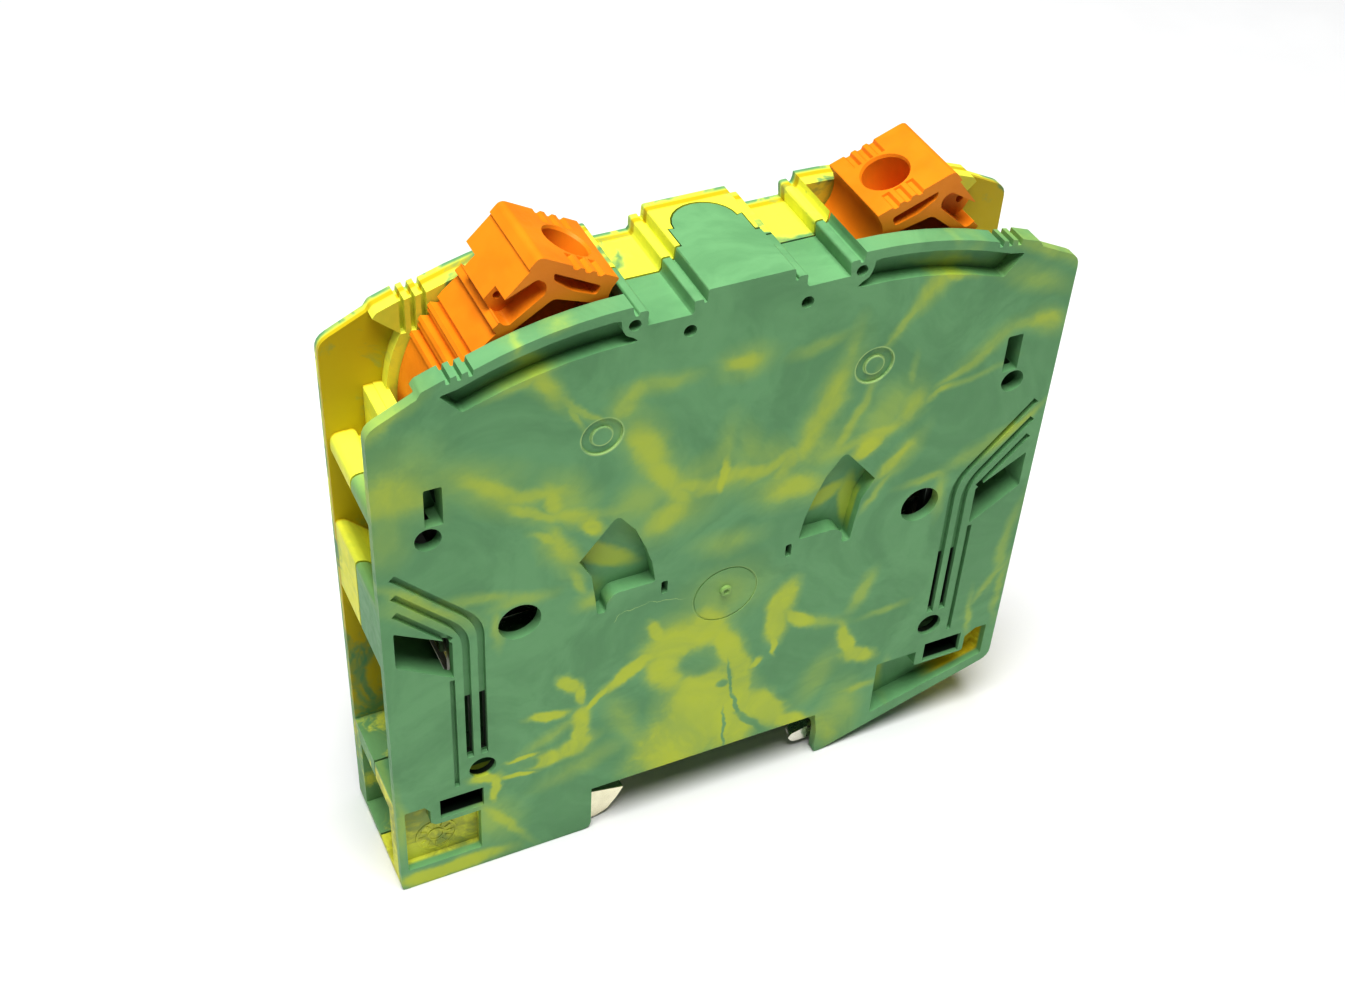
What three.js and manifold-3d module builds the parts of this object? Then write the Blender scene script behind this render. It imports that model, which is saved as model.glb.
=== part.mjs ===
// A rail-mounted ground terminal block for two large conductors, in millimetres, +Z up.
// +X runs along the rail's width, +Y across the block's thickness, from the front shell to the
// back shell. The origin is under the middle of the block, at the level its feet stand on.
//
// Two half shells hold a current bar. At each end a hand lever turns on a pin between the shells,
// and its crank pin lifts and lowers a steel cage that presses the conductor up against the bar.
// Below, a contact foot and a sprung latch grip the edges of a 35 mm rail.
import * as THREE from "three";
import { mergeVertices } from "three/addons/utils/BufferGeometryUtils.js";
import Module from "manifold-3d";

const wasm = await Module();
wasm.setup();

// ---- Driving dimensions ----
const HALF_LENGTH = 46.9;
const HALF_THICK = 9.4;
const SEAM_Y = -0.3; // where the half shells meet
const SEAM_GAP = 0.3;
const PLATE = 1.45; // wall of a shell's big face
const FRONT_GUIDE = 2.8; // wall beside a lever, front shell
const BACK_GUIDE = 3.3; // wall beside a lever, back shell
const POCKETED = 3.4; // wall where the outer face has pockets
const DEEP_POCKETED = 4.3; // wall behind the right foot's deep pocket
const BLIND = 0.9; // depth of the back shell's holes and slots, which don't go through
const SEAT_Z = 8.5; // the face that rests on the rail
const FOOT_LEFT_X = -18.65; // inner wall of the left foot
const FOOT_RIGHT_X = 17.6; // inner wall of the right foot
const HUMP_Z = 91;
const ARCH_R = 56; // top edge of the big faces
const ARCH_X = 15;

const PIVOT = { x: 18.4, z: 73.2 };
const LEVER_Y = -0.25; // middle of the lever's width
const LEVER_HALF = 6.05;
const DRUM_R = 20;
const DRUM_WALL = 1.7;
const HUB_R = 4.6;
const PIN_R = 2;
const PIN_GAP = 0.15;
const RIGHT_LEVER_OPEN = 7; // degrees; the right lever stands a little open, the left one is shut
const HOLE_FACE_TILT = 28.4; // degrees
const HOLE_FACE_LENGTH = 10.9;
const HOLE_R = 3;

const CRANK_R = 14.5;
const CRANK_ANGLE = 22.5; // degrees above the outward horizontal when shut
const CRANK_PIN_R = 1.2;
const TRAVEL = 2 * CRANK_R * Math.sin(rad(CRANK_ANGLE)); // of a cage, over the lever's 45 degrees

const BAR = { x: 38.4, y0: -5, y1: 4.5, z0: 40, z1: 43 };
const CAGE = { x0: 31.6, x1: 37.6, y0: -6.9, y1: 6.8, wall: 1.5, floor: 2 };
const STRAP = { x: 32.4, half: 1.2, y: 0.8 }; // half widths along X and Y
const LATCH_TRAVEL = 5.4;

// ---- Small tools ----
function rad(degrees) {
  return (degrees * Math.PI) / 180;
}

function polar(r, degrees) {
  return [r * Math.cos(rad(degrees)), r * Math.sin(rad(degrees))];
}

// A closed three.js geometry as a manifold solid.
function solid(geometry) {
  const bare = new THREE.BufferGeometry();
  bare.setAttribute("position", geometry.getAttribute("position"));
  if (geometry.index) bare.setIndex(geometry.index);
  const merged = mergeVertices(bare, 1e-4);
  return new wasm.Manifold(
    new wasm.Mesh({
      numProp: 3,
      vertProperties: merged.attributes.position.array,
      triVerts: new Uint32Array(merged.index.array),
    }),
  );
}

const join = (...parts) => parts.flat().reduce((a, b) => a.add(b));
const cut = (body, ...tools) => body.subtract(join(...tools));

// Points [x, z, radius] as a closed path; a radius rounds that corner.
function path(points) {
  const shape = new THREE.Path();
  const at = (i) => new THREE.Vector2(...points.at(i % points.length).slice(0, 2));
  points.forEach(([, , radius], i) => {
    const corner = at(i);
    const before = at(i - 1 + points.length);
    const after = at(i + 1);
    const draw = i ? "lineTo" : "moveTo";
    if (!radius) {
      shape[draw](corner.x, corner.y);
      return;
    }
    const [back, ahead] = [before, after].map((p) => corner.distanceTo(p));
    const reach = Math.min(radius, 0.49 * back, 0.49 * ahead);
    const start = corner.clone().lerp(before, reach / back);
    const end = corner.clone().lerp(after, reach / ahead);
    shape[draw](start.x, start.y);
    shape.quadraticCurveTo(corner.x, corner.y, end.x, end.y);
  });
  return shape.getPoints(4);
}

// An outline in X and Z, drawn through the thickness from y0 to y1.
function slab(points, y0, y1) {
  const shape = new THREE.Shape(path(points));
  const geometry = new THREE.ExtrudeGeometry(shape, {
    depth: y1 - y0,
    bevelEnabled: false,
  });
  return solid(geometry.rotateX(Math.PI / 2).translate(0, y1, 0));
}

// An outline in Y and Z, drawn along X.
function beam(points, x0, x1) {
  const shape = new THREE.Shape(path(points));
  const geometry = new THREE.ExtrudeGeometry(shape, {
    depth: x1 - x0,
    bevelEnabled: false,
  });
  return solid(geometry.rotateX(Math.PI / 2).rotateZ(Math.PI / 2).translate(x0, 0, 0));
}

// An outline in X and Y, drawn upwards.
function tile(points, z0, z1) {
  const shape = new THREE.Shape(path(points));
  const geometry = new THREE.ExtrudeGeometry(shape, {
    depth: z1 - z0,
    bevelEnabled: false,
  });
  return solid(geometry.translate(0, 0, z0));
}

function box(x0, x1, y0, y1, z0, z1) {
  const geometry = new THREE.BoxGeometry(x1 - x0, y1 - y0, z1 - z0);
  return solid(geometry.translate((x0 + x1) / 2, (y0 + y1) / 2, (z0 + z1) / 2));
}

// A round bar along Y.
function round(x, z, r, y0, y1, sides = 16) {
  const geometry = new THREE.CylinderGeometry(r, r, y1 - y0, sides);
  return solid(geometry.translate(x, (y0 + y1) / 2, z));
}

// Points of an arc about (x, z), ends included.
function arc(x, z, r, from, to, steps) {
  return Array.from({ length: steps + 1 }, (_, i) => {
    const [dx, dz] = polar(r, from + ((to - from) * i) / steps);
    return [x + dx, z + dz];
  });
}

// A band of even width along a line of points, as an outline.
function band(points, width) {
  const side = (sign) =>
    points.map(([x, z], i) => {
      const [ax, az] = points[Math.max(i - 1, 0)];
      const [bx, bz] = points[Math.min(i + 1, points.length - 1)];
      const long = Math.hypot(bx - ax, bz - az);
      const out = (sign * width) / 2 / long;
      return [x - (bz - az) * out, z + (bx - ax) * out];
    });
  return [...side(1), ...side(-1).reverse()];
}

const mirrored = (points, sign) => points.map(([x, z, r]) => [sign * x, z, r]);
const SIDES = [-1, 1];

// ---- Outline of the big faces ----
// The top edge from the outer corner to the middle; the other half mirrors it.
function topEdge() {
  const teeth = [37.1, 35.75, 34.4].flatMap((x) => {
    const z = 87.25 + (37.5 - x) * 0.13;
    return [[x + 0.34, z], [x + 0.24, z - 0.8], [x - 0.24, z - 0.8], [x - 0.34, z]];
  });
  const from = THREE.MathUtils.radToDeg(Math.acos(19 / ARCH_R));
  return [
    [HALF_LENGTH, 82.4, 1.5],
    [40.8, 85.4],
    [40.2, 86.3, 0.3],
    ...teeth,
    ...arc(ARCH_X, HUMP_Z - ARCH_R, ARCH_R, from, 90, 6),
    [14.9, HUMP_Z - 0.8, 0.2],
    [14.7, HUMP_Z - 1.4, 0.2],
    [14.3, HUMP_Z - 1.4, 0.2],
    [14.2, 90.1, 0.4],
    [13, 90.1, 0.5],
    [13.2, 88],
    [7.6, 88],
    [7.3, 88.4],
    [7.3, 89.8, 0.3],
    [6.15, 89.8, 0.2],
    [6.1, 89.3],
    [5.7, 89.3],
    [5.6, HUMP_Z, 0.3],
  ];
}

function faceOutline() {
  const right = topEdge();
  return [
    [-HALF_LENGTH, 0, 0.8],
    [FOOT_LEFT_X, 0, 1.4],
    [FOOT_LEFT_X, SEAT_Z],
    [FOOT_RIGHT_X - 0.5, SEAT_Z, 0.3],
    [FOOT_RIGHT_X, 4.5],
    [FOOT_RIGHT_X, 0, 0.6],
    [18.6, 0, 0.5],
    [HALF_LENGTH, 9.2, 1.6],
    ...right,
    ...mirrored(right, -1).reverse(),
  ];
}

// ---- The half shells ----

// The rounded bar across the end of the block, over its upper opening.
const NOSE_BAR = [
  [41.8, 66.3],
  [46.6, 66.3, 0.5],
  [46.6, 68.9, 1.4],
  [43.3, 68.9, 1.2],
  [43, 67.6],
  [41.8, 67.6],
];

// What stands on a shell's big face and reaches the seam, in X and Z, for one end of the block.
function endWalls(s) {
  const place = (points) => mirrored(points, s);
  const rib = [
    ...arc(PIVOT.x, PIVOT.z, 20.9, -38, 5, 8),
    ...arc(PIVOT.x, PIVOT.z, 22.4, 5, -38, 8),
  ];
  return [
    place(rib),
    place([[40.5, 66.3], [42, 66.3], [42, 75, 0.3], [40.5, 75, 0.3]]),
    place(NOSE_BAR),
    place([[HALF_LENGTH, 43.8], [HALF_LENGTH, 55, 1], [45.6, 54.8, 0.6], [38.8, 48.1], [38.8, 38.5]]),
    place([[HALF_LENGTH, 14.2], [HALF_LENGTH, 17.5], [20, 17.5], [20, 14.2]]),
    place([[33.3, 11.8], [42.2, 11.8], [42.2, 16], [33.3, 16]]),
    place([[41.9, 50], [42.7, 50.8], [42.7, 67], [41.9, 67]]),
    place([[20, 17.2], [21.5, 17.2], [21.5, 39.4], [20, 39.4]]),
    place([[11, 61], [12.4, 61], [12.4, 87.2], [11, 87.2]]),
    place([[12, 33], [14, 33], [14, 39.7], [12, 39.7]]),
    place([[12, 43.3], [14, 43.3], [14, 49], [12, 49]]),
    place([[12.2, 85], [13, 85.2], [15, 88], [15, 92], [12.2, 92]]),
  ];
}

function middleWalls() {
  return [
    [[-12.4, 85.4], [12.4, 85.4], [12.4, 92], [-12.4, 92]],
    [[FOOT_LEFT_X, SEAT_Z], [FOOT_RIGHT_X, SEAT_Z], [18.6, 10.8], [-20.4, 10.8]],
    [[-20.4, 6.5], [FOOT_LEFT_X, 6.5], [FOOT_LEFT_X, 10.8], [-20.4, 10.8]],
    [[16.5, 5.4], [18.6, 5.4], [18.6, 10.8], [16.5, 10.8]],
    [[-HALF_LENGTH, 0], [-30.2, 0], [-30.2, 1.7], [-HALF_LENGTH, 1.7]],
    [[-38.2, 1.5], [-36.7, 1.5], [-36.7, 7.6], [-38.2, 7.6]],
    [[23, 1], [HALF_LENGTH, 8], [HALF_LENGTH, 11], [45.4, 11], [23, 3.5]],
  ];
}

// Places where a shell's big face is thicker: beside the levers, and behind the outer pockets.
function guideRegion(s) {
  return mirrored(
    [
      [16, 62],
      [34, 62],
      ...arc(PIVOT.x, PIVOT.z, 21.3, -25, 26.5, 8),
      [41.2, 86.1],
      [41.2, 92],
      [12, 92],
      [12, 62],
    ],
    s,
  );
}

const FAN = [
  [16, 59.8, 1.1],
  [13.5, 56.5],
  [12, 53],
  [11, 50],
  [10.35, 46.3, 0.6],
  [16.2, 46.3, 0.8],
  [17.2, 45, 0.5],
  [17.2, 43.4, 0.5],
  [18.5, 43.4, 0.5],
  [18.8, 46.5],
  [19.4, 50.6],
  [21.1, 53.6],
];

const fanBoss = () => [[9, 45], [15, 45], [16, 43.2], [20, 43.2], [22.6, 54], [16, 61.4], [12.4, 58]];
const leftFootPad = () => [[-HALF_LENGTH, 0], [-34.2, 0], [-34.2, 17], [-HALF_LENGTH, 17]];
const rightFootPad = () => [[25.6, 2], [HALF_LENGTH, 8], [HALF_LENGTH, 17.4], [25.6, 17.4]];

// Room in a shell's big face for the latch to slide beside it.
const LATCH_TRACK = [[-33, -1], [FOOT_LEFT_X + 1, -1], [FOOT_LEFT_X + 1, 6.5], [-33, 6.5]];

// The shallow pocket under the top edge, wrapped round the boss of the small hole.
function archPocket() {
  return [
    [38.2, 85.1, 0.4],
    ...arc(ARCH_X, HUMP_Z - ARCH_R - 1.4, ARCH_R, 68, 87.5, 5),
    [16.4, 89.4],
    [16.3, 88.3, 0.5],
    [15.8, 87.2, 0.5],
    [14.9, 86.75],
    [14.3, 86.2, 0.1],
    ...arc(ARCH_X, HUMP_Z - ARCH_R - 5, ARCH_R, 90, 69.5, 5),
    [35.6, 82.1, 0.4],
  ];
}

const WINDOW = [[45.4, 50.4, 0.3], [38, 46.1, 0.3], [38, 39.6, 0.3], [45.4, 44.4, 0.3]];

// Three bent grooves: [start height at x = 45.1, x of the upright run, its foot].
const GROOVE_WIDTH = 1;
const GROOVE_DEPTH = 0.7;
const GROOVES = [
  [59.7, 34.25, 23.4],
  [56.6, 36.25, 23.4],
];

function grooveLine([startZ, uprightX, footZ]) {
  const slope = Math.tan(rad(46));
  const cornerZ = startZ - (45.1 - uprightX) * slope;
  const bend = new THREE.QuadraticBezierCurve(
    new THREE.Vector2(uprightX + 1.9, cornerZ + 1.9 * slope),
    new THREE.Vector2(uprightX, cornerZ),
    new THREE.Vector2(uprightX, cornerZ - 2.8),
  );
  return [[45.1, startZ], ...bend.getPoints(5).map((p) => [p.x, p.y]), [uprightX, footZ]];
}

// Round holes in the big faces: [x, z, radius, sides].
const HOLES = [
  [14.7, 88.4, 0.8, 12],
  [7.65, 85.7, 0.85, 12],
  [40.35, 64.3, 1.7, 20],
  [29.05, 46.2, 2.9, 28],
  [34.6, 20.65, 1.9, 20],
];

// Long holes in the big faces: [x0, x1, z0, z1, corner radius].
const SLOTS = [
  [38.35, 40.65, 66.2, 72, 0.3],
  [8.6, 9.5, 43.7, 45.9, 0.3],
  [33.87, 34.63, 23.9, 34.8, 0.3],
  [35.87, 36.63, 23.9, 34.8, 0.3],
];
const LOWER_SLOT = [34.6, 40.8, 12.8, 16.5, 0];

function slotOutline([x0, x1, z0, z1, radius]) {
  return [[x0, z0, radius], [x1, z0, radius], [x1, z1, radius], [x0, z1, radius]];
}

// What is cut from one end of a shell: holes, window, pockets, grooves, and the seat of a pin.
// The round holes, the window and the lower slot go right through the front shell's face, and only
// a little way into the back shell's.
function endCuts(s, pocket, open, slotSpan, seat) {
  const place = (points) => mirrored(points, s);
  const straightGroove = [[37.9, 18.3, 0.2], [38.6, 18.3, 0.2], [38.6, 39.2], [37.9, 39.2]];
  const x = s * PIVOT.x;
  const ring = cut(round(x, PIVOT.z, 2.7, ...pocket(0.3), 28), round(x, PIVOT.z, 1.4, ...pocket(0.6), 28));
  return [
    ...HOLES.map(([holeX, z, r, sides]) => round(s * holeX, z, r, ...open, sides)),
    ...SLOTS.map((slot) => slab(place(slotOutline(slot)), ...slotSpan)),
    slab(place(slotOutline(LOWER_SLOT)), ...open),
    slab(place(WINDOW), ...open),
    slab(place(archPocket()), ...pocket(2)),
    slab(place(FAN), ...pocket(2.2)),
    ...GROOVES.map((groove) => slab(place(band(grooveLine(groove), GROOVE_WIDTH)), ...pocket(GROOVE_DEPTH))),
    slab(place(band([[45.1, 53.6], [38.2, 46.5]], GROOVE_WIDTH)), ...pocket(GROOVE_DEPTH)),
    slab(place(straightGroove), ...pocket(GROOVE_DEPTH)),
    ring,
    round(x, PIVOT.z, PIN_R + PIN_GAP, ...seat, 20),
  ];
}

// One half shell; side is -1 for the front shell and 1 for the back shell.
function shell(side) {
  const outer = side * HALF_THICK;
  const seam = SEAM_Y + (side * SEAM_GAP) / 2;
  const ordered = (a, b) => [a, b].sort((p, q) => p - q);
  const span = (depth) => ordered(outer, outer - side * depth);
  const pocket = (depth) => ordered(outer + side, outer - side * depth);
  const toSeam = ordered(outer, seam);
  const open = side < 0 ? ordered(outer + side, seam - side) : pocket(BLIND);
  const slotSpan = side < 0 ? pocket(POCKETED) : open;
  const seat = ordered(seam, outer - side * 1.2);
  const guide = side < 0 ? FRONT_GUIDE : BACK_GUIDE;

  const walls = [...middleWalls(), ...SIDES.flatMap(endWalls)].map((w) => slab(w, ...toSeam));
  const thick = [
    ...SIDES.map((s) => slab(guideRegion(s), ...span(guide))),
    ...SIDES.map((s) => slab(mirrored(fanBoss(), s), ...span(POCKETED))),
    slab(leftFootPad(), ...span(POCKETED)),
    slab(rightFootPad(), ...span(DEEP_POCKETED)),
  ];
  const outline = faceOutline();
  const filled = join(walls, thick).intersect(slab(outline, ...toSeam));
  const whole = join(slab(outline, ...span(PLATE)), filled);
  const body = cut(
    whole,
    SIDES.flatMap((s) => endCuts(s, pocket, open, slotSpan, seat)),
    slab(LEFT_POCKET, ...pocket(1.8)),
    slab(RIGHT_POCKET, ...pocket(2.9)),
    slab(LATCH_TRACK, ...ordered(outer - side * 1.1, outer - side * 1.9)),
  );
  return side < 0 ? frontDetails(body, outer, seam) : backDetails(body, outer, seam);
}

const LEFT_POCKET = [
  [-45.8, 3.8, 0.4],
  [-35.1, 3.8, 0.4],
  [-35.1, 11.9],
  [-41.5, 11.9, 0.6],
  [-42.2, 12.6],
  [-42.2, 15],
  [-43, 16.1],
  [-45.8, 16.1, 0.3],
];

const RIGHT_POCKET = [
  [26.6, 4.9, 0.4],
  [45.2, 10.4, 0.4],
  [45.2, 16.6, 0.3],
  [43.3, 16.6],
  [41.6, 15.4],
  [41.6, 12.5, 0.5],
  [33.2, 12.5, 0.5],
  [33.2, 15.4],
  [26.6, 15.4, 0.3],
];

// The tongue of the front shell that lies in the hump of the back shell, in X and Y.
function tongue(grow) {
  return [
    [-5.5, -4],
    [-5.5, -0.6],
    [-4.8 - grow, -0.6],
    [-4.8 - grow, 3.3 + grow],
    ...arc(0, 3.1 + grow, 4.1 + grow, 180, 0, 12),
    [4.8 + grow, 3.3 + grow],
    [4.8 + grow, -0.6],
    [5.5, -0.6],
    [5.5, -4],
  ];
}

const TONGUE_FLOOR_Z = 89.2;
const SNAP_PINS = [[0, 62], [-26, 36.5], [26, 36.5], [-9, 24], [9, 24]];

// Front shell only: the tongue, sockets for the snap pins and the mark of the moulding gate.
function frontDetails(shellBody, outer, seam) {
  const lip = tile(tongue(0), TONGUE_FLOOR_Z, HUMP_Z);
  const bosses = SNAP_PINS.map(([x, z]) => round(x, z, 2.4, outer + 1, seam, 16));
  const sockets = SNAP_PINS.map(([x, z]) => round(x, z, 1.4, seam - 4, seam + 1, 16));
  const ring = cut(
    round(0, 40.2, 4.75, outer - 1, outer + 0.12, 40),
    round(0, 40.2, 4.5, outer - 2, outer + 1, 40),
  );
  const pit = round(0, 40.9, 0.8, outer - 1, outer + 0.3, 12);
  return cut(join(shellBody, lip, bosses), sockets, ring, pit);
}

// Back shell only: the bed of the tongue, the snap pins and three grooves beside each lever.
const GUIDE_GROOVES = [37.1, 35.75, 34.4];

function backDetails(shellBody, outer, seam) {
  const bed = tile(tongue(0.15), TONGUE_FLOOR_Z - 0.3, HUMP_Z + 1);
  const bosses = SNAP_PINS.map(([x, z]) => round(x, z, 2.4, seam, outer - 1, 16));
  const pins = SNAP_PINS.map(([x, z]) => round(x, z, 1.1, seam - 3.2, seam + 1, 16));
  const guideFace = outer - BACK_GUIDE;
  const drops = SIDES.flatMap((s) =>
    GUIDE_GROOVES.map((x) => box(s * x - 0.34, s * x + 0.34, guideFace - 1, guideFace + 1.1, 82.6, 90)),
  );
  return cut(join(shellBody, bosses, pins), bed, drops);
}

// ---- A lever, in its own frame: the pivot at the origin, outwards along +X times s ----
const FACE_DIRECTION = polar(1, HOLE_FACE_TILT);
const FACE_INNER = [-3, 19.9];
const FACE_OUTER = [0, 1].map((i) => FACE_INNER[i] + HOLE_FACE_LENGTH * FACE_DIRECTION[i]);
const PLATE_SLOPE = polar(1, -47);
const SCOOP = { x: -5.76, z: 16.6, r: 4.2 }; // the hollow on the lever's inner side
const GRIP_RIDGES = [28.2, 34.5, 40.2]; // degrees above the horizontal, on the drum
const GRIP_NOTCHES = [4.45, 6.1, 7.75]; // on the hole face, from its outer edge
const MOUTH_EYE = [10.6, 19.2]; // small blind hole at the back of the mouth

// A point of the hole face: how far from its outer edge, and how deep.
function onFace(run, depth) {
  const [c, s] = FACE_DIRECTION;
  return [FACE_OUTER[0] - run * c + depth * s, FACE_OUTER[1] - run * s - depth * c];
}

// A point of the outer plate: how far down from the hole face, and how deep.
function onPlate(run, depth = 0) {
  const [c, s] = PLATE_SLOPE;
  return [FACE_OUTER[0] + run * c + depth * s, FACE_OUTER[1] + run * s - depth * c];
}

function leverOutline() {
  const ridges = GRIP_RIDGES.flatMap((a) => [
    polar(DRUM_R, a - 1.6),
    polar(DRUM_R + 0.35, a - 0.9),
    polar(DRUM_R + 0.35, a + 0.6),
    polar(DRUM_R - 0.6, a + 1.7),
    polar(DRUM_R - 0.6, a + 3),
    polar(DRUM_R, a + 3.4),
  ]);
  return [
    ...arc(0, 0, DRUM_R, -1, 26, 9),
    ...ridges,
    ...arc(0, 0, DRUM_R, 46, 53.8, 3),
    [...polar(DRUM_R + 0.9, 54), 0.2],
    polar(DRUM_R + 0.9, 56.7),
    onPlate(8.2),
    onPlate(1.9, 0.3),
    onPlate(1.85),
    [...FACE_OUTER, 0.8],
    [...FACE_INNER, 0.3],
    ...arc(SCOOP.x, SCOOP.z, SCOOP.r, 44, -58, 8),
    [-4.4, 8],
    ...arc(0, 0, HUB_R, 165, 300, 9),
    [8, -2.4],
    [DRUM_R - DRUM_WALL, -0.8],
  ];
}

// What is cut from both sides of a lever: each outline, and how near the middle it reaches.
const LEVER_POCKETS = [
  // the mouth between the outer plate and the drum, with the recess behind the plate
  [
    [
      onPlate(6.2, -1),
      onPlate(9.5, -1),
      [12.7, 17.6],
      [11.4, 17.6],
      [10.9, 17.1],
      [10.3, 16.9, 0.3],
      [5.8, 20.1, 0.6],
      [5.8, 21.4, 0.5],
      [6.8, 22.2, 0.4],
      onPlate(6.2, 0.2),
    ],
    3.2,
  ],
  // the slot under the hole face
  [[[4.9, 21.5, 0.4], [4.9, 22.5, 0.3], [-0.8, 19.4, 0.4], [-0.2, 18.3, 0.4], [2.7, 19.6, 0.5]], 3.6],
  // the gap between the two arms and the drum
  [[[4.95, 19.1, 0.6], [9.9, 16, 0.5], [10, 13.9, 0.6], [2.5, 12.4, 1], [-0.3, 17.1, 0.5]], 3.2],
];

function lever(s) {
  const half = LEVER_HALF;
  const place = (points) => mirrored(points, s);
  const bothSides = (points, reach) => [
    slab(place(points), -half - 1, -reach),
    slab(place(points), reach, half + 1),
  ];
  const notches = GRIP_NOTCHES.flatMap((start) => {
    const notch = [
      onFace(start - 0.3, -0.38),
      onFace(start + 0.3, 0.38),
      onFace(start + 0.8, 0.38),
      onFace(start + 1.4, -0.38),
    ];
    return bothSides(notch, 3.3);
  });

  // The blind driver hole, square to the hole face.
  const [faceX, faceZ] = onFace(6.4, 0);
  const socket = (top, bottom, rise, depth) => {
    const geometry = new THREE.CylinderGeometry(top, bottom, depth, 28)
      .translate(0, rise - depth / 2, 0)
      .rotateX(Math.PI / 2)
      .rotateY(-s * rad(HOLE_FACE_TILT))
      .translate(s * faceX, 0, faceZ);
    return solid(geometry);
  };

  // The gap for the cage's strap, between the two cheeks, and its way out through the drum.
  const gap = [
    ...arc(0, 0, DRUM_R - DRUM_WALL, -20, 43, 9),
    ...arc(0, 0, HUB_R + 0.9, 60, -40, 6),
  ];
  const wayOut = [...arc(0, 0, DRUM_R + 2, -6, 13.5, 3), ...arc(0, 0, 15, 13.5, -6, 3)];
  const [crankX, crankZ] = polar(CRANK_R, CRANK_ANGLE);
  return cut(
    slab(place(leverOutline()), -half, half),
    LEVER_POCKETS.flatMap(([points, reach]) => bothSides(points, reach)),
    notches,
    round(s * MOUTH_EYE[0], MOUTH_EYE[1], 0.5, -4, -2.2, 12),
    round(s * MOUTH_EYE[0], MOUTH_EYE[1], 0.5, 2.2, 4, 12),
    socket(HOLE_R + 0.3, HOLE_R, 0.4, 0.8),
    socket(HOLE_R, HOLE_R - 0.2, 0.2, 7),
    slab(place(gap), -1.25, 1.25),
    slab(place(wayOut), -1.25, 1.25),
    round(0, 0, PIN_R + PIN_GAP, -half - 1, half + 1, 20),
    round(s * crankX, crankZ, CRANK_PIN_R + PIN_GAP, -4.6, 4.6, 16),
  );
}

// ---- The clamp of one end: cage, leaf spring and pressure shoe, shut ----
function cage(s) {
  const { x0, x1, y0, y1, wall, floor } = CAGE;
  const [low, high] = [s * x0, s * x1].sort((a, b) => a - b);
  const floorZ = BAR.z0 - 6.1;
  const roofZ = BAR.z1 + TRAVEL + 0.5;
  const rectangle = (grow, low, high, radius) => [
    [y0 - grow, low, radius],
    [y1 + grow, low, radius],
    [y1 + grow, high, radius],
    [y0 - grow, high, radius],
  ];
  const frame = rectangle(0, floorZ, roofZ + floor, 0.8);
  const hollow = rectangle(-wall, floorZ + floor, roofZ, 0);
  const loop = cut(beam(frame, low, high), beam(hollow, low - 1, high + 1));
  const eyeZ = PIVOT.z + CRANK_R * Math.sin(rad(CRANK_ANGLE));
  const inner = PIVOT.x + CRANK_R * Math.cos(rad(CRANK_ANGLE));
  const outer = PIVOT.x + CRANK_R;
  const [eyeLow, eyeHigh] = [s * inner, s * outer].sort((a, b) => a - b);
  const long = (r) => [...arc(eyeHigh, eyeZ, r, -90, 90, 8), ...arc(eyeLow, eyeZ, r, 90, 270, 8)];
  const yMid = LEVER_Y;
  const [strapLow, strapHigh] = [s * STRAP.x - STRAP.half, s * STRAP.x + STRAP.half];
  const strap = box(strapLow, strapHigh, yMid - STRAP.y, yMid + STRAP.y, roofZ + 1, eyeZ);
  const [padLow, padHigh] = [s * (STRAP.x - STRAP.half), s * (x0 + 1)].sort((a, b) => a - b);
  const pad = box(padLow, padHigh, yMid - 3, yMid + 3, roofZ, roofZ + floor);
  const eye = slab(long(2.35), yMid - STRAP.y, yMid + STRAP.y);
  const opening = slab(long(CRANK_PIN_R + 0.2), yMid - 2, yMid + 2);
  return cut(join(loop, pad, strap, eye), opening);
}

function leafSpring(s) {
  const { x0, x1, y0, y1, wall } = CAGE;
  const [low, high] = [s * (x0 + 0.6), s * (x1 - 0.6)].sort((a, b) => a - b);
  const middle = (y0 + y1) / 2;
  const reach = (y1 - y0) / 2 - wall - 0.4;
  const height = 1.1;
  const base = BAR.z0 - 3.8;
  const bow = Array.from({ length: 11 }, (_, i) => {
    const t = i / 5 - 1;
    return [middle + t * reach, base + height * (1 - t * t)];
  });
  return beam([...bow, ...bow.map(([y, z]) => [y, z + 0.45]).reverse()], low, high);
}

function shoe(s) {
  const { x0, x1, y0, y1, wall } = CAGE;
  const [low, high] = [s * (x0 + 0.3), s * (x1 - 0.3)].sort((a, b) => a - b);
  const near = y0 + wall + 0.3;
  const far = y1 - wall - 0.3;
  const middle = (near + far) / 2;
  const base = BAR.z0 - 2;
  const top = BAR.z0 - 0.4;
  const profile = [
    [near, base],
    [far, base],
    [far, top],
    [far - 1.4, top],
    [middle + 1.5, top - 0.6],
    [middle - 1.5, top - 0.6],
    [near + 1.4, top],
    [near, top],
  ];
  return beam(profile, low, high);
}

// ---- Current bar, contact foot, rivets, latch and spring ----
const RIVET_X = 5;
const RIVET_R = 1.3;

function currentBar() {
  const { x, y0, y1, z0, z1 } = BAR;
  const teeth = SIDES.flatMap((s) =>
    Array.from({ length: 4 }, (_, i) => {
      const at = s * (32.3 + i * 1.5);
      return slab([[at - 0.4, z0 - 0.5], [at + 0.4, z0 - 0.5], [at, z0 + 0.4]], y0 - 1, y1 + 1);
    }),
  );
  const outline = [[-x, z0, 0.6], [x, z0, 0.6], [x, z1, 0.6], [-x, z1, 0.6]];
  const yMid = (y0 + y1) / 2;
  const bores = SIDES.map((s) => rivetBar(s * RIVET_X, yMid, RIVET_R + PIN_GAP, z0 - 1, z1 + 1));
  return cut(slab(outline, y0, y1), teeth, bores);
}

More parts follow.
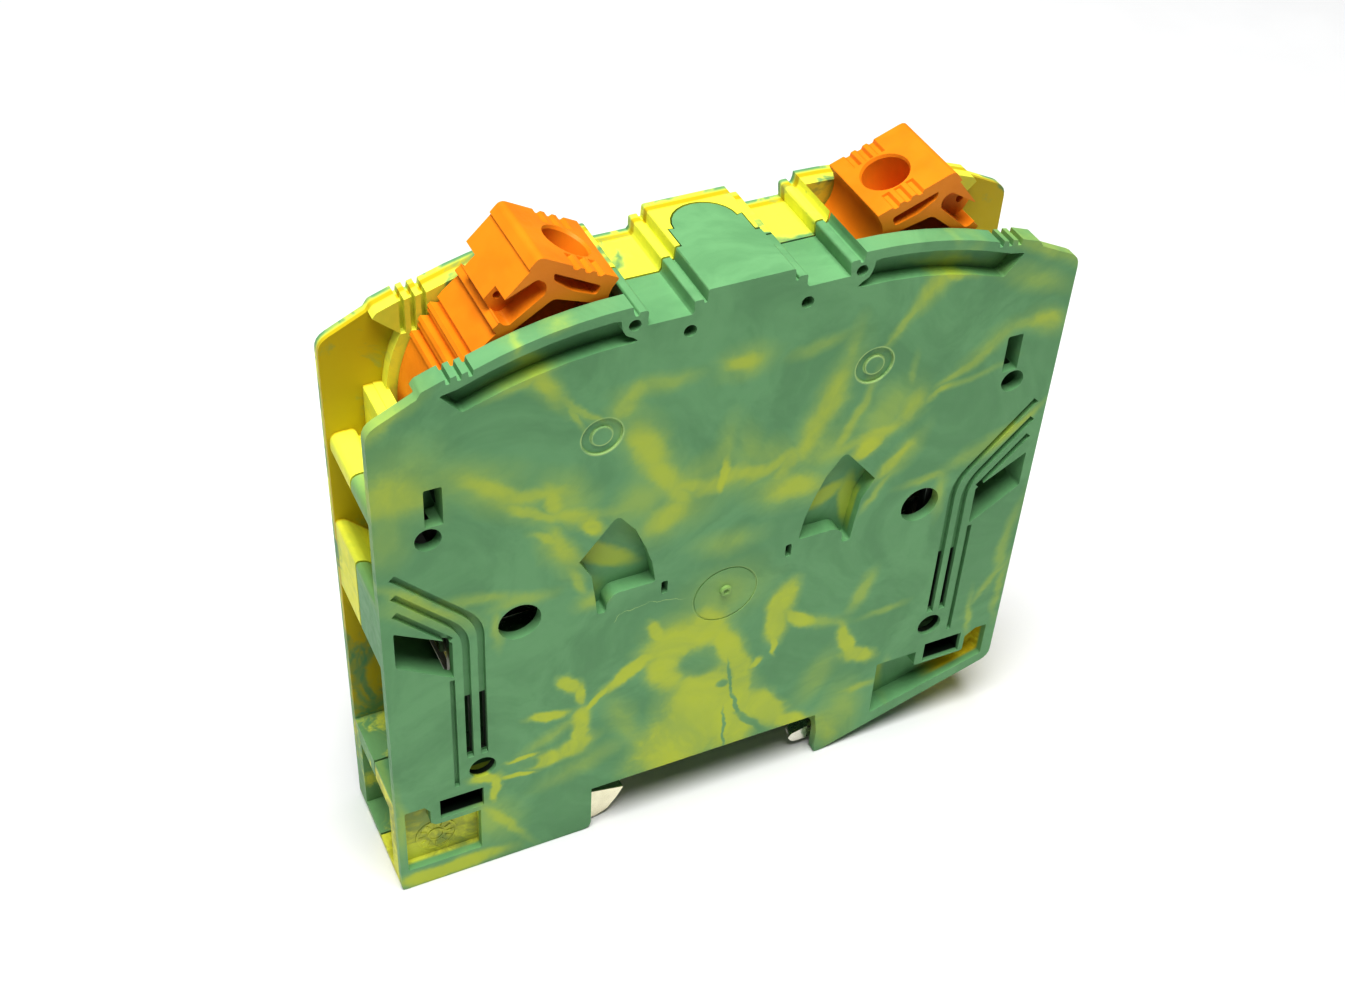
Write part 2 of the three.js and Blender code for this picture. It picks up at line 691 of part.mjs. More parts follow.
// A round bar along Z.
function rivetBar(x, y, r, z0, z1, sides = 16) {
  const geometry = new THREE.CylinderGeometry(r, r, z1 - z0, sides).rotateX(Math.PI / 2);
  return solid(geometry.translate(x, y, (z0 + z1) / 2));
}

const FOOT_TOP = BAR.z0 - 0.3;
const FOOT_FLANGE = 2.2;
const NOSE_LOW = 1.3;
const NOSE_Y = [-7.4, 7.1];

function contactFoot() {
  const { y0, y1 } = BAR;
  const flange = FOOT_TOP - FOOT_FLANGE;
  const outline = [
    [8, FOOT_TOP],
    [-8, FOOT_TOP],
    [-8, flange],
    [-1.6, flange, 0.8],
    [-1.6, 13.6, 0.8],
    [-15.5, 13.6],
    [-15.5, 11.1],
    [19, 11.1, 0.3],
    [19, NOSE_LOW],
    [21.5, NOSE_LOW, 0.6],
    [21.5, 13.6, 1.2],
    [1.6, 13.6, 0.8],
    [1.6, flange, 0.8],
    [8, flange],
  ];
  const yMid = (y0 + y1) / 2;
  const bores = SIDES.map((s) => rivetBar(s * RIVET_X, yMid, RIVET_R + PIN_GAP, flange - 1, FOOT_TOP + 1));
  const crossPlate = box(19, 21.5, NOSE_Y[0], NOSE_Y[1], NOSE_LOW, 4.4);
  return cut(join(slab(outline, y0, y1), crossPlate, prongs()), bores);
}

// The two prongs of the fixed nose, which hold the rail's edge from below.
function prongs() {
  const side = [
    [19.5, NOSE_LOW],
    [19.5, 4.4],
    [17.9, 4.05],
    [14.6, 3.2, 0.3],
    [14.1, 2.4, 0.7],
    [15, NOSE_LOW, 0.9],
  ];
  const plans = [[NOSE_Y[0], 1], [NOSE_Y[1], -1]].map(([y, inwards]) =>
    tile([
      [20, y],
      [14.1, y, 0.3],
      [14.1, y + inwards * 1.3, 1],
      [16.4, y + inwards * 2.3, 1],
      [20, y + inwards * 2.3],
    ], 0, 6),
  );
  return slab(side, -8, 8).intersect(join(plans));
}

function rivet(s) {
  const yMid = (BAR.y0 + BAR.y1) / 2;
  const low = FOOT_TOP - FOOT_FLANGE;
  const x = s * RIVET_X;
  return join(
    rivetBar(x, yMid, RIVET_R, low - 1, BAR.z1 + 1),
    rivetBar(x, yMid, RIVET_R + 0.9, BAR.z1 + 0.3, BAR.z1 + 1.4),
    rivetBar(x, yMid, RIVET_R + 0.9, low - 1.4, low - 0.3),
  );
}

const LATCH_BACK = -27;
const LATCH_Y = [-8, 8];

function latch() {
  const outline = [
    [-12.9, 4.9, 0.4],
    [FOOT_LEFT_X, 6.1],
    [LATCH_BACK, 6.1, 0.4],
    [LATCH_BACK, 2.2, 0.4],
    [-24.4, 2.2],
    [-23.4, 0.12, 0.6],
    [-17.4, 0.12, 1.2],
    [-15.4, 1.1],
    [-14, 3],
  ];
  return slab(outline, ...LATCH_Y);
}

function latchSpring() {
  const turns = 6;
  const coilR = 1.3;
  const wireR = 0.28;
  const start = -36.4;
  const end = LATCH_BACK - 0.3;
  const z = 3.95;
  const y = (LATCH_Y[0] + LATCH_Y[1]) / 2;
  const points = Array.from({ length: turns * 10 + 1 }, (_, i) => {
    const a = rad(i * 36);
    const x = start + wireR + ((end - start - 2 * wireR) * i) / (turns * 10);
    return new THREE.Vector3(x, y + coilR * Math.cos(a), z + coilR * Math.sin(a));
  });
  const section = new THREE.Shape(path(arc(0, 0, wireR, 0, 300, 5)));
  const geometry = new THREE.ExtrudeGeometry(section, {
    steps: turns * 10,
    bevelEnabled: false,
    extrudePath: new THREE.CatmullRomCurve3(points),
  });
  return solid(geometry);
}

// ---- Materials ----
function material(color, roughness, metalness) {
  return new THREE.MeshStandardMaterial({ color, roughness, metalness });
}
const GREEN_PLASTIC = material(0x588a5f, 0.55, 0);
const YELLOW_PLASTIC = material(0xa8a83a, 0.55, 0);
const ORANGE_PLASTIC = material(0xff8c1e, 0.5, 0);
const STEEL = material(0xbfc0c0, 0.35, 1);
const TINNED_COPPER = material(0xe1dcbe, 0.3, 1);
const SPRING_STEEL = material(0x9a9a98, 0.3, 1);

// ---- Assembly ----
const terminal = new THREE.Group();

function add(name, body, look, parent = terminal) {
  const made = body.getMesh();
  const geometry = new THREE.BufferGeometry();
  const places = new Float32Array(made.numVert * 3);
  for (let i = 0; i < made.numVert; i++)
    places.set(made.vertProperties.subarray(i * made.numProp, i * made.numProp + 3), i * 3);
  geometry.setAttribute("position", new THREE.BufferAttribute(places, 3));
  geometry.setIndex(new THREE.BufferAttribute(made.triVerts, 1));
  geometry.computeVertexNormals();
  const mesh = new THREE.Mesh(geometry, look);
  mesh.name = name;
  parent.add(mesh);
  return mesh;
}

add("front_shell", shell(-1), GREEN_PLASTIC);
add("back_shell", shell(1), YELLOW_PLASTIC);
add("current_bar", currentBar(), TINNED_COPPER);
add("contact_foot", contactFoot(), TINNED_COPPER);
add("rail_latch", latch(), TINNED_COPPER);
add("latch_spring", latchSpring(), SPRING_STEEL);

for (const [s, end] of [[-1, "left"], [1, "right"]]) {
  const open = s > 0 ? RIGHT_LEVER_OPEN : 0;
  const drop = CRANK_R * (Math.sin(rad(CRANK_ANGLE)) - Math.sin(rad(CRANK_ANGLE - open)));

  add(end + "_rivet", rivet(s), STEEL);
  add(end + "_pivot_pin", round(s * PIVOT.x, PIVOT.z, PIN_R, -7.9, 7.9, 20), STEEL);

  // The lever and its crank pin turn together about the pivot pin.
  const turning = new THREE.Group();
  turning.position.set(s * PIVOT.x, LEVER_Y, PIVOT.z);
  turning.rotation.y = s * rad(open);
  terminal.add(turning);
  add(end + "_lever", lever(s), ORANGE_PLASTIC, turning);
  const crank = polar(CRANK_R, CRANK_ANGLE);
  add(end + "_crank_pin", round(s * crank[0], crank[1], CRANK_PIN_R, -4.3, 4.3, 16), STEEL, turning);

  // The cage, its leaf spring and the shoe slide down together as the lever opens.
  const sliding = new THREE.Group();
  sliding.position.z = -drop;
  terminal.add(sliding);
  add(end + "_clamp_cage", cage(s), STEEL, sliding);
  add(end + "_clamp_spring", leafSpring(s), SPRING_STEEL, sliding);
  add(end + "_pressure_shoe", shoe(s), TINNED_COPPER, sliding);
}

export default terminal;
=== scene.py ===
import math

import bmesh
import bpy
from mathutils import Matrix, Vector


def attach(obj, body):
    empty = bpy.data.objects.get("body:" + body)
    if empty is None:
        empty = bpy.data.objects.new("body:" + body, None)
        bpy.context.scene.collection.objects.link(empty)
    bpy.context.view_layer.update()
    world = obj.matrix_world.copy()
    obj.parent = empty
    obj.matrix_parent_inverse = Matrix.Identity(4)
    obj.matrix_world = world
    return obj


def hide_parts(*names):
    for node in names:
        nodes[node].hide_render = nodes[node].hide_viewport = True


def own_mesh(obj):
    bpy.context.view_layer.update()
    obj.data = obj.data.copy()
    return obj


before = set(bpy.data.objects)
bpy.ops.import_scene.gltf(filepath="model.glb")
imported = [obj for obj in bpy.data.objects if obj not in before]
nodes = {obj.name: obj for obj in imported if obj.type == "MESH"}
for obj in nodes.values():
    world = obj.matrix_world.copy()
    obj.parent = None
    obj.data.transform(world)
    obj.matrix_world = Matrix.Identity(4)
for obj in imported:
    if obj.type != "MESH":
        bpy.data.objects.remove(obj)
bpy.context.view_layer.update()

scene = bpy.context.scene
MM = 0.001


# ---- camera ----
# It stands where the photograph's camera stood, in metres, and looks along forward.
CAMERA_PLACE = (-0.087624, -0.162537, 0.215065)

cam_data = bpy.data.cameras.new("camera")
cam_data.lens = 50.07
cam_data.sensor_width = 36
cam_data.clip_start = 0.01
camera = bpy.data.objects.new("camera", cam_data)
scene.collection.objects.link(camera)
right = Vector((0.90580, -0.42128, 0.04521))
forward = Vector((0.34041, 0.66005, -0.66966)).normalized()
up = right.cross(forward).normalized()
right = forward.cross(up).normalized()
turn = Matrix((right, up, -forward)).transposed().to_4x4()
camera.matrix_world = Matrix.Translation(CAMERA_PLACE) @ turn
scene.camera = camera
scene.view_settings.view_transform = "Standard"
scene.view_settings.gamma = 0.8


# ---- light and floor ----
AIM = (0, 0, 0.04)


def area(name, size, power, place):
    """A round lamp that points at the middle of the block."""
    data = bpy.data.lights.new(name, "AREA")
    data.shape = "DISK"
    data.size = size
    data.energy = power
    light = bpy.data.objects.new(name, data)
    light.location = place
    light.rotation_euler = (Vector(AIM) - Vector(place)).to_track_quat("-Z", "Y").to_euler()
    scene.collection.objects.link(light)


area("key", size=0.7, power=16.4, place=(-0.08, -0.15, 1.0))
area("side", size=0.5, power=0.9, place=(-0.75, 0.15, 0.45))

world = bpy.data.worlds.new("studio")
scene.world = world
world.use_nodes = True
sky = world.node_tree.nodes["Background"]
sky.inputs["Color"].default_value = (0.95, 0.98, 1.0, 1)
sky.inputs["Strength"].default_value = 0.11


# ---- node helpers ----
class Graph:
    """A small builder for a material's nodes."""

    def __init__(self, name):
        self.material = bpy.data.materials.new(name)
        self.material.use_nodes = True
        self.tree = self.material.node_tree
        self.shader = self.tree.nodes["Principled BSDF"]

    def node(self, kind, **settings):
        made = self.tree.nodes.new(kind)
        for key, value in settings.items():
            setattr(made, key, value)
        return made

    def link(self, source, target):
        self.tree.links.new(source, target)

    def feed(self, socket, value):
        if hasattr(value, "is_output"):
            self.link(value, socket)
        else:
            socket.default_value = value

    def math(self, operation, a, b=None, c=None):
        made = self.node("ShaderNodeMath", operation=operation)
        for socket, value in zip(made.inputs, (a, b, c)):
            if value is not None:
                self.feed(socket, value)
        return made.outputs[0]

    def vector(self, operation, a, b=None, scale=None):
        made = self.node("ShaderNodeVectorMath", operation=operation)
        self.feed(made.inputs[0], a)
        if b is not None:
            self.feed(made.inputs[1], b)
        if scale is not None:
            self.feed(made.inputs["Scale"], scale)
        return made.outputs["Value" if operation in ("LENGTH", "DOT_PRODUCT") else "Vector"]

    def noise(self, vector, scale, detail=2.0, rough=0.5, distortion=0.0, out="Fac"):
        made = self.node("ShaderNodeTexNoise")
        self.link(vector, made.inputs["Vector"])
        made.inputs["Scale"].default_value = scale
        made.inputs["Detail"].default_value = detail
        made.inputs["Roughness"].default_value = rough
        made.inputs["Distortion"].default_value = distortion
        return made.outputs[out]

    def step(self, value, low, high, a=0.0, b=1.0):
        """Runs smoothly from a, at the value low, to b, at the value high; low may be the larger."""
        made = self.node("ShaderNodeMapRange", interpolation_type="SMOOTHSTEP")
        self.feed(made.inputs["Value"], value)
        for name, number in (("From Min", low), ("From Max", high), ("To Min", a), ("To Max", b)):
            self.feed(made.inputs[name], number)
        return made.outputs["Result"]

    def mix(self, factor, a, b):
        """Mixes two colours, whose sockets on the node are numbers 6, 7 and, for the result, 2."""
        made = self.node("ShaderNodeMix", data_type="RGBA")
        self.feed(made.inputs["Factor"], factor)
        self.feed(made.inputs[6], a)
        self.feed(made.inputs[7], b)
        return made.outputs[2]

    def place(self):
        """The point on the piece, in metres in the row frame."""
        return self.node("ShaderNodeTexCoord").outputs["Object"]

    def bump(self, height, strength, distance):
        made = self.node("ShaderNodeBump")
        made.inputs["Strength"].default_value = strength
        made.inputs["Distance"].default_value = distance
        self.link(height, made.inputs["Height"])
        self.link(made.outputs["Normal"], self.shader.inputs["Normal"])


def moulded_grain(g, place, strength=0.25):
    """The fine skin of moulded plastic: tiny pits over long soft waves."""
    pits = g.noise(place, 5200, rough=0.6)
    waves = g.noise(place, 260)
    height = g.math("MULTIPLY_ADD", waves, 1.6, pits)
    g.bump(height, strength, distance=0.00003)


# ---- marbled plastic ----
GREEN = (0.190, 0.408, 0.194, 1)
DEEP_GREEN = (0.148, 0.334, 0.156, 1)
# The next colour is painted shade: the deep green of the hidden inside of the block.
INSIDE_SHADE_GREEN = (0.040, 0.130, 0.050, 1)
YELLOW = (0.53, 0.61, 0.070, 1)
OLIVE = (0.37, 0.53, 0.135, 1)
# PALE_GREEN is the painted highlight on the ring edges and the colour of the scratch.
PALE_GREEN = (0.46, 0.64, 0.26, 1)
# The next colour is painted shade: the near black inside the slots and a small hole.
SHADE_BLACK = (0.006, 0.016, 0.007, 1)
BRIGHT_YELLOW = (0.86, 0.85, 0.09, 1)
CLEAR_YELLOW = (0.72, 0.76, 0.09, 1)
# DEEP_YELLOW is a random tone on the foot pockets' floors, and painted shade on the inner side of
# the back plate.
DEEP_YELLOW = (0.58, 0.46, 0.012, 1)

# How far the two noises push the marbling about, in metres.
SWIRL_SHIFT = 0.0034
FINE_SHIFT = 0.0010

# Places in metres in the row frame. What both ends of the block have is given by its distance
# from the middle. A ring has a radius and half a width.
PIVOT = (0.0184, 0.0732)
PIVOT_RINGS = ((0.00272, 0.00014), (0.0014, 0.00016))
GATE = (0, 0.0402)
GATE_RADIUS = 0.0047
SMALL_HOLE = (0.0346, 0.02065)
SMALL_HOLE_RADIUS = 0.002
LONG_SLOTS = (0.03372, 0.03572)
LONG_SLOT_WIDTH = 0.00106

# Ramps: a colour begins at the first value and is full at the second.
POCKET_FLOOR = (-0.0086, -0.0080)
POCKET_TOP = (0.0174, 0.0166)
LEFT_POCKET = (-0.0344, -0.0352)
RIGHT_POCKET = (0.0352, 0.0400)
FRONT_SKIN = (-0.0091, -0.0093)
BACK_SKIN = (0.0084, 0.0092)
FOOT_HOLLOW_TOP = (0.0225, 0.0185)
FOOT_HOLLOW_SIDE = (-0.0300, -0.0340)
CAVITY_TOP = (0.0730, 0.0700)
CAVITY_END = (0.0405, 0.0385)

# Ranges: a colour fills what lies between the two values.
BACK_PLATE_SHADE = (0.0077, 0.0086)
CAVITY = (-0.0061, 0.0082)
LONG_SLOT_RANGE = (0.0238, 0.0349)
LOWER_SLOT_X = (0.0345, 0.0409)
LOWER_SLOT_Z = (0.0127, 0.0166)
BLACK_DEPTH = (-0.0088, 0.0078)

# Pools of yellow on the front shell, each given by x and z of the middle, half length and
# half width in mm, and the angle in degrees of the long axis above +X.
STRONG_POOLS = [
    # the stem under the gate
    (-6.0, 33.2, 5.2, 3.1, 5), (-9.7, 36.6, 2.2, 0.9, 115), (-2.4, 34.0, 3.4, 2.8, 90),
    (-8.2, 28.4, 4.0, 2.4, 105), (1.0, 29.8, 4.8, 2.1, 115), (3.4, 24.8, 4.0, 1.7, 108),
    (-2.2, 20.0, 7.8, 5.4, 90), (-5.8, 12.6, 7.6, 6.0, 80), (2.2, 14.4, 8.0, 4.2, 100),
    (3.8, 20.2, 5.4, 1.6, 96), (8.2, 13.8, 5.2, 2.1, 127), (12.4, 9.8, 4.0, 1.4, 155),
    (5.9, 24.3, 1.2, 0.8, 40),
    # its left arm
    (-12.8, 30.7, 4.6, 1.3, 33), (-17.4, 27.5, 2.6, 0.55, 44), (-20.3, 22.4, 3.8, 1.3, 82),
    (-21.6, 19.2, 3.2, 1.7, 12), (-25.4, 18.2, 2.9, 1.6, 3), (-29.2, 20.2, 2.2, 0.4, 0),
    (-29.8, 16.7, 2.4, 0.5, -12), (-21.8, 31.6, 2.5, 1.0, 128), (-20.2, 29.4, 2.2, 0.7, 100),
    (-25.0, 27.0, 3.3, 0.8, -10),
    # the pools on its right
    (9.4, 35.4, 2.9, 1.7, 65), (8.4, 32.0, 3.7, 1.5, 92), (8.6, 27.4, 2.4, 0.45, 95),
    (11.6, 31.6, 2.8, 1.0, -42), (20.3, 23.2, 3.6, 0.9, 112), (22.8, 19.4, 2.7, 1.2, 148),
    # the zigzag across the middle
    (-1.6, 61.7, 2.4, 0.5, 82), (-18.7, 59.0, 2.0, 1.1, 130), (18.7, 59.4, 1.9, 1.1, 40),
    # the left foot
    (-34.4, 18.5, 2.2, 1.0, -20), (-32.9, 15.8, 2.4, 0.7, 85), (-40.0, 1.2, 7.6, 1.4, 0),
]
MILD_POOLS = [
    # the zigzag's sides
    (-12.3, 69.3, 3.4, 1.6, 120), (-9.6, 64.2, 3.2, 1.3, 122), (12.3, 69.4, 3.4, 1.5, 62),
    (10.6, 64.0, 2.8, 1.1, 60), (-2.6, 60.6, 2.6, 1.0, 14), (-5.6, 61.4, 3.0, 0.8, -24),
    (5.8, 61.2, 3.0, 0.8, 28), (-7.4, 60.8, 1.0, 2.2, 30), (7.6, 60.6, 1.0, 2.0, -30),
    # wings
    (-21.4, 61.8, 3.8, 0.9, -14), (-24.6, 65.1, 2.1, 0.8, 110), (-27.4, 66.8, 2.9, 0.8, -8),
    (-31.6, 69.2, 3.6, 0.9, -38), (-26.6, 63.7, 4.0, 0.6, -33), (20.2, 61.5, 4.2, 0.9, 12),
    (25.2, 64.3, 2.5, 1.1, 62), (17.3, 66.6, 4.8, 0.7, 68), (28.2, 65.4, 2.2, 0.5, 28),
    (-44.2, 72.0, 3.4, 2.4, -20), (44.2, 72.8, 1.5, 2.2, 60), (31.4, 68.4, 3.6, 0.6, 30),
    # beside the fans
    (-22.7, 57.2, 3.2, 1.0, 118), (-25.2, 59.4, 1.8, 0.5, 150), (-21.2, 50.2, 2.0, 0.6, 108),
    (23.3, 56.2, 2.9, 0.6, 47), (21.4, 50.6, 2.4, 0.5, 65), (-19.6, 46.2, 1.2, 1.8, 90),
    # rays from the lever pivots
    (-25.4, 83.0, 3.9, 0.9, 122), (-22.3, 79.0, 2.9, 0.5, 130), (-20.0, 76.8, 2.0, 0.4, 138),
    (-21.8, 77.2, 2.2, 0.35, 114), (-15.7, 77.0, 1.9, 1.3, 45), (24.9, 82.9, 3.9, 1.0, 58),
    (21.8, 78.6, 3.4, 0.7, 56), (20.4, 76.6, 2.0, 0.4, 40), (-0.9, 78.8, 1.7, 0.8, 0),
    # along the edges
    (-44.6, 83.2, 4.0, 0.9, 32), (41.4, 84.6, 6.0, 0.8, -28), (-28.6, 84.5, 3.6, 0.6, 16),
    (28.4, 84.6, 4.2, 0.6, -16), (-42.6, 54.8, 4.8, 0.7, -38), (-35.0, 52.4, 4.4, 0.7, -12),
    (42.6, 55.8, 4.4, 0.6, 38), (28.4, 50.6, 2.5, 0.7, 0), (45.5, 34.0, 6.0, 0.7, 82),
    (43.8, 26.2, 3.8, 0.6, 58), (41.4, 20.6, 3.2, 0.5, 95), (46.0, 24.0, 4.4, 0.6, 90),
    (-28.4, 91.0, 1.6, 0.5, 80), (-23.4, 91.0, 1.4, 0.5, 20), (26.6, 91.2, 1.8, 0.5, 120),
    # feet
    (19.0, 4.6, 3.4, 1.5, 110), (28.6, 11.6, 3.4, 0.7, 100), (24.0, 12.3, 1.9, 0.8, 0),
    (-31.2, 6.6, 4.6, 0.6, 122), (21.6, 32.0, 3.0, 1.0, 66), (25.6, 27.1, 2.6, 0.6, 10),
    (15.4, 29.2, 3.6, 0.8, -27), (-8.6, 57.0, 2.6, 1.6, 30), (9.2, 56.2, 3.0, 1.3, -8),
    (2.6, 60.6, 2.2, 0.8, -10),
]
FAINT_POOLS = [
    (0.0, 39.8, 5.2, 4.6, 0), (-6.4, 37.0, 4.0, 2.2, 0), (-8.4, 57.2, 5.2, 3.4, 20),
    (8.8, 56.8, 5.8, 3.2, -12), (-1.8, 66.0, 4.0, 1.6, 76), (2.0, 65.2, 3.8, 1.5, 108),
    (-4.8, 63.4, 5.4, 2.4, 18), (4.8, 63.2, 5.4, 2.4, -18), (0.0, 61.0, 9.0, 2.8, 0),
    (-11.0, 66.6, 5.6, 2.6, 120), (11.2, 66.4, 5.4, 2.4, 62),
    (12.8, 61.6, 3.6, 4.2, 90), (-12.8, 61.0, 3.2, 3.4, 90), (0.2, 78.8, 3.4, 2.2, 0),
    (-11.0, 78.8, 4.4, 1.2, -5), (10.8, 78.7, 3.8, 1.0, 10), (14.8, 76.6, 3.6, 1.1, 80),
    (-13.0, 71.6, 3.6, 2.4, 110), (13.4, 72.4, 5.0, 1.8, 66), (-31.4, 67.8, 6.4, 2.2, -36),
    (-35.6, 72.4, 6.4, 2.6, -22), (-43.6, 73.4, 5.6, 5.4, -20), (-45.4, 65.6, 2.6, 3.6, 0),
    (36.4, 72.2, 5.0, 1.3, 32), (33.2, 66.6, 5.0, 0.6, 12), (41.0, 73.8, 4.0, 1.2, 0),
    (24.6, 70.4, 2.6, 0.6, 92), (21.6, 65.0, 5.0, 3.0, 50), (-22.8, 65.0, 4.6, 2.6, 130),
    (27.6, 84.0, 4.2, 1.2, 50), (-26.6, 84.6, 4.0, 1.6, 120), (41.0, 80.4, 5.4, 1.4, -24),
    (-41.0, 52.0, 6.4, 1.4, -30), (37.0, 53.8, 5.6, 1.2, 25), (-29.0, 50.0, 3.6, 1.0, 0),
    (-32.0, 46.6, 3.2, 0.7, 90), (31.8, 46.8, 3.2, 0.9, 90), (-14.0, 20.6, 5.0, 1.6, 105),
    (-24.4, 23.0, 5.6, 1.0, 25), (16.6, 17.6, 5.0, 2.4, 60), (21.6, 8.0, 6.0, 2.6, 100),
    (-46.4, 14.0, 6.0, 0.8, 90), (-33.4, 9.0, 3.0, 5.0, 20), (-20.4, 14.8, 6.0, 1.6, 20),
    (24.4, 56.4, 4.2, 1.6, 48), (-23.4, 56.4, 4.4, 2.0, 118), (0.0, 49.6, 4.0, 2.0, 0),
]
# Green let back into the stem and the left arm, and the yellow on the floors of the fans.
GREEN_POOLS = [
    (-3.5, 27.8, 2.9, 1.7, -15), (1.85, 22.8, 3.6, 0.24, 98), (3.0, 17.0, 2.9, 0.28, 107),
    (6.4, 11.8, 3.9, 0.5, 134), (1.9, 12.5, 3.8, 0.24, 98), (0.7, 22.5, 0.8, 0.7, 0),
    (-28.4, 18.6, 1.1, 0.8, 0),
]
FAN_POOLS = [
    (-16.8, 51.4, 4.4, 1.5, -32), (14.8, 50.9, 3.4, 1.3, 24), (18.4, 49.0, 1.2, 4.0, 0),
]
# A fine scratch beside the gate.
SCRATCH = [
    (-13.0, 42.3, 2.2, 0.07, 12), (-8.4, 42.2, 2.6, 0.07, -14), (-15.2, 41.4, 0.7, 0.06, 70),
]
POOL_BLEND = 0.3
# A pool's scale along Y, so large that a point's Y doesn't count.
ANY_DEPTH = 10000


def pools(g, place, rows):
    """How far a point is from the nearest pool: 1 on its rim, less inside. Near pools join."""
    nearest = None
    for x, z, long, wide, angle in rows:
        # Each pool reads the one before it, so that they are worked out one at a time.
        middle = g.node("ShaderNodeCombineXYZ")
        before = 0 if nearest is None else nearest
        for socket, value in zip(middle.inputs, (x * MM, before, z * MM)):
            g.feed(socket, value)
        made = g.node("ShaderNodeMapping", vector_type="TEXTURE")
        g.link(place, made.inputs["Vector"])
        g.link(middle.outputs[0], made.inputs["Location"])
        made.inputs["Rotation"].default_value = (0, math.radians(-angle), 0)
        made.inputs["Scale"].default_value = (long * MM, ANY_DEPTH, wide * MM)
        away = g.vector("LENGTH", made.outputs["Vector"])
        nearest = away if nearest is None else g.math("SMOOTH_MIN", nearest, away, POOL_BLEND)
    return nearest


def within(g, value, low, high, soft):
    """1 where the value lies between two limits, in metres, with soft ends."""
    above = g.step(value, low - soft, low + soft)
    below = g.step(value, high + soft, high - soft)
    return g.math("MULTIPLY", above, below)


def circle(g, x, z, middle, radius, half):
    """1 on a ring in X and Z, in metres: half is half its width, and a radius of 0 gives a disc."""
    away = g.node("ShaderNodeCombineXYZ")
    g.feed(away.inputs[0], g.math("SUBTRACT", x, middle[0]))
    g.feed(away.inputs[2], g.math("SUBTRACT", z, middle[1]))
    distance = g.vector("LENGTH", away.outputs[0])
    return within(g, distance, radius - half, radius + half, soft=0.0001)


class Marbling:
    """Places, noises and colours that both shells share."""

    def __init__(self, name):
        g = Graph(name)
        place = g.place()
        middle = (0.5, 0.5, 0.5)
        swirl = g.noise(place, 95, detail=3, rough=0.55, distortion=0.5, out="Color")
        swirl = g.vector("SUBTRACT", swirl, middle)
        fine = g.noise(place, 420, detail=3, rough=0.6, distortion=0.4, out="Color")
        fine = g.vector("SUBTRACT", fine, middle)
        moved = g.vector("ADD", place, g.vector("SCALE", swirl, scale=SWIRL_SHIFT))
        self.moved = g.vector("ADD", moved, g.vector("SCALE", fine, scale=FINE_SHIFT))
        self.wash = g.noise(self.moved, 62, detail=4, rough=0.62, distortion=1.2)
        self.cloud = g.noise(self.moved, 190, detail=4, rough=0.6, distortion=0.8)
        sides = g.node("ShaderNodeSeparateXYZ")
        g.link(place, sides.inputs[0])
        self.x, self.y, self.z = sides.outputs
        self.g, self.at = g, place
        self.green = g.mix(g.step(self.wash, 0.36, 0.66), DEEP_GREEN, GREEN)

    def finish(self, color):
        g = self.g
        g.link(color, g.shader.inputs["Base Color"])
        rough = g.step(g.noise(self.at, 900), 0.3, 0.7, 0.46, 0.56)
        g.link(rough, g.shader.inputs["Roughness"])
        g.shader.inputs["Specular IOR Level"].default_value = 0.3
        moulded_grain(g, self.at)
        return g.material


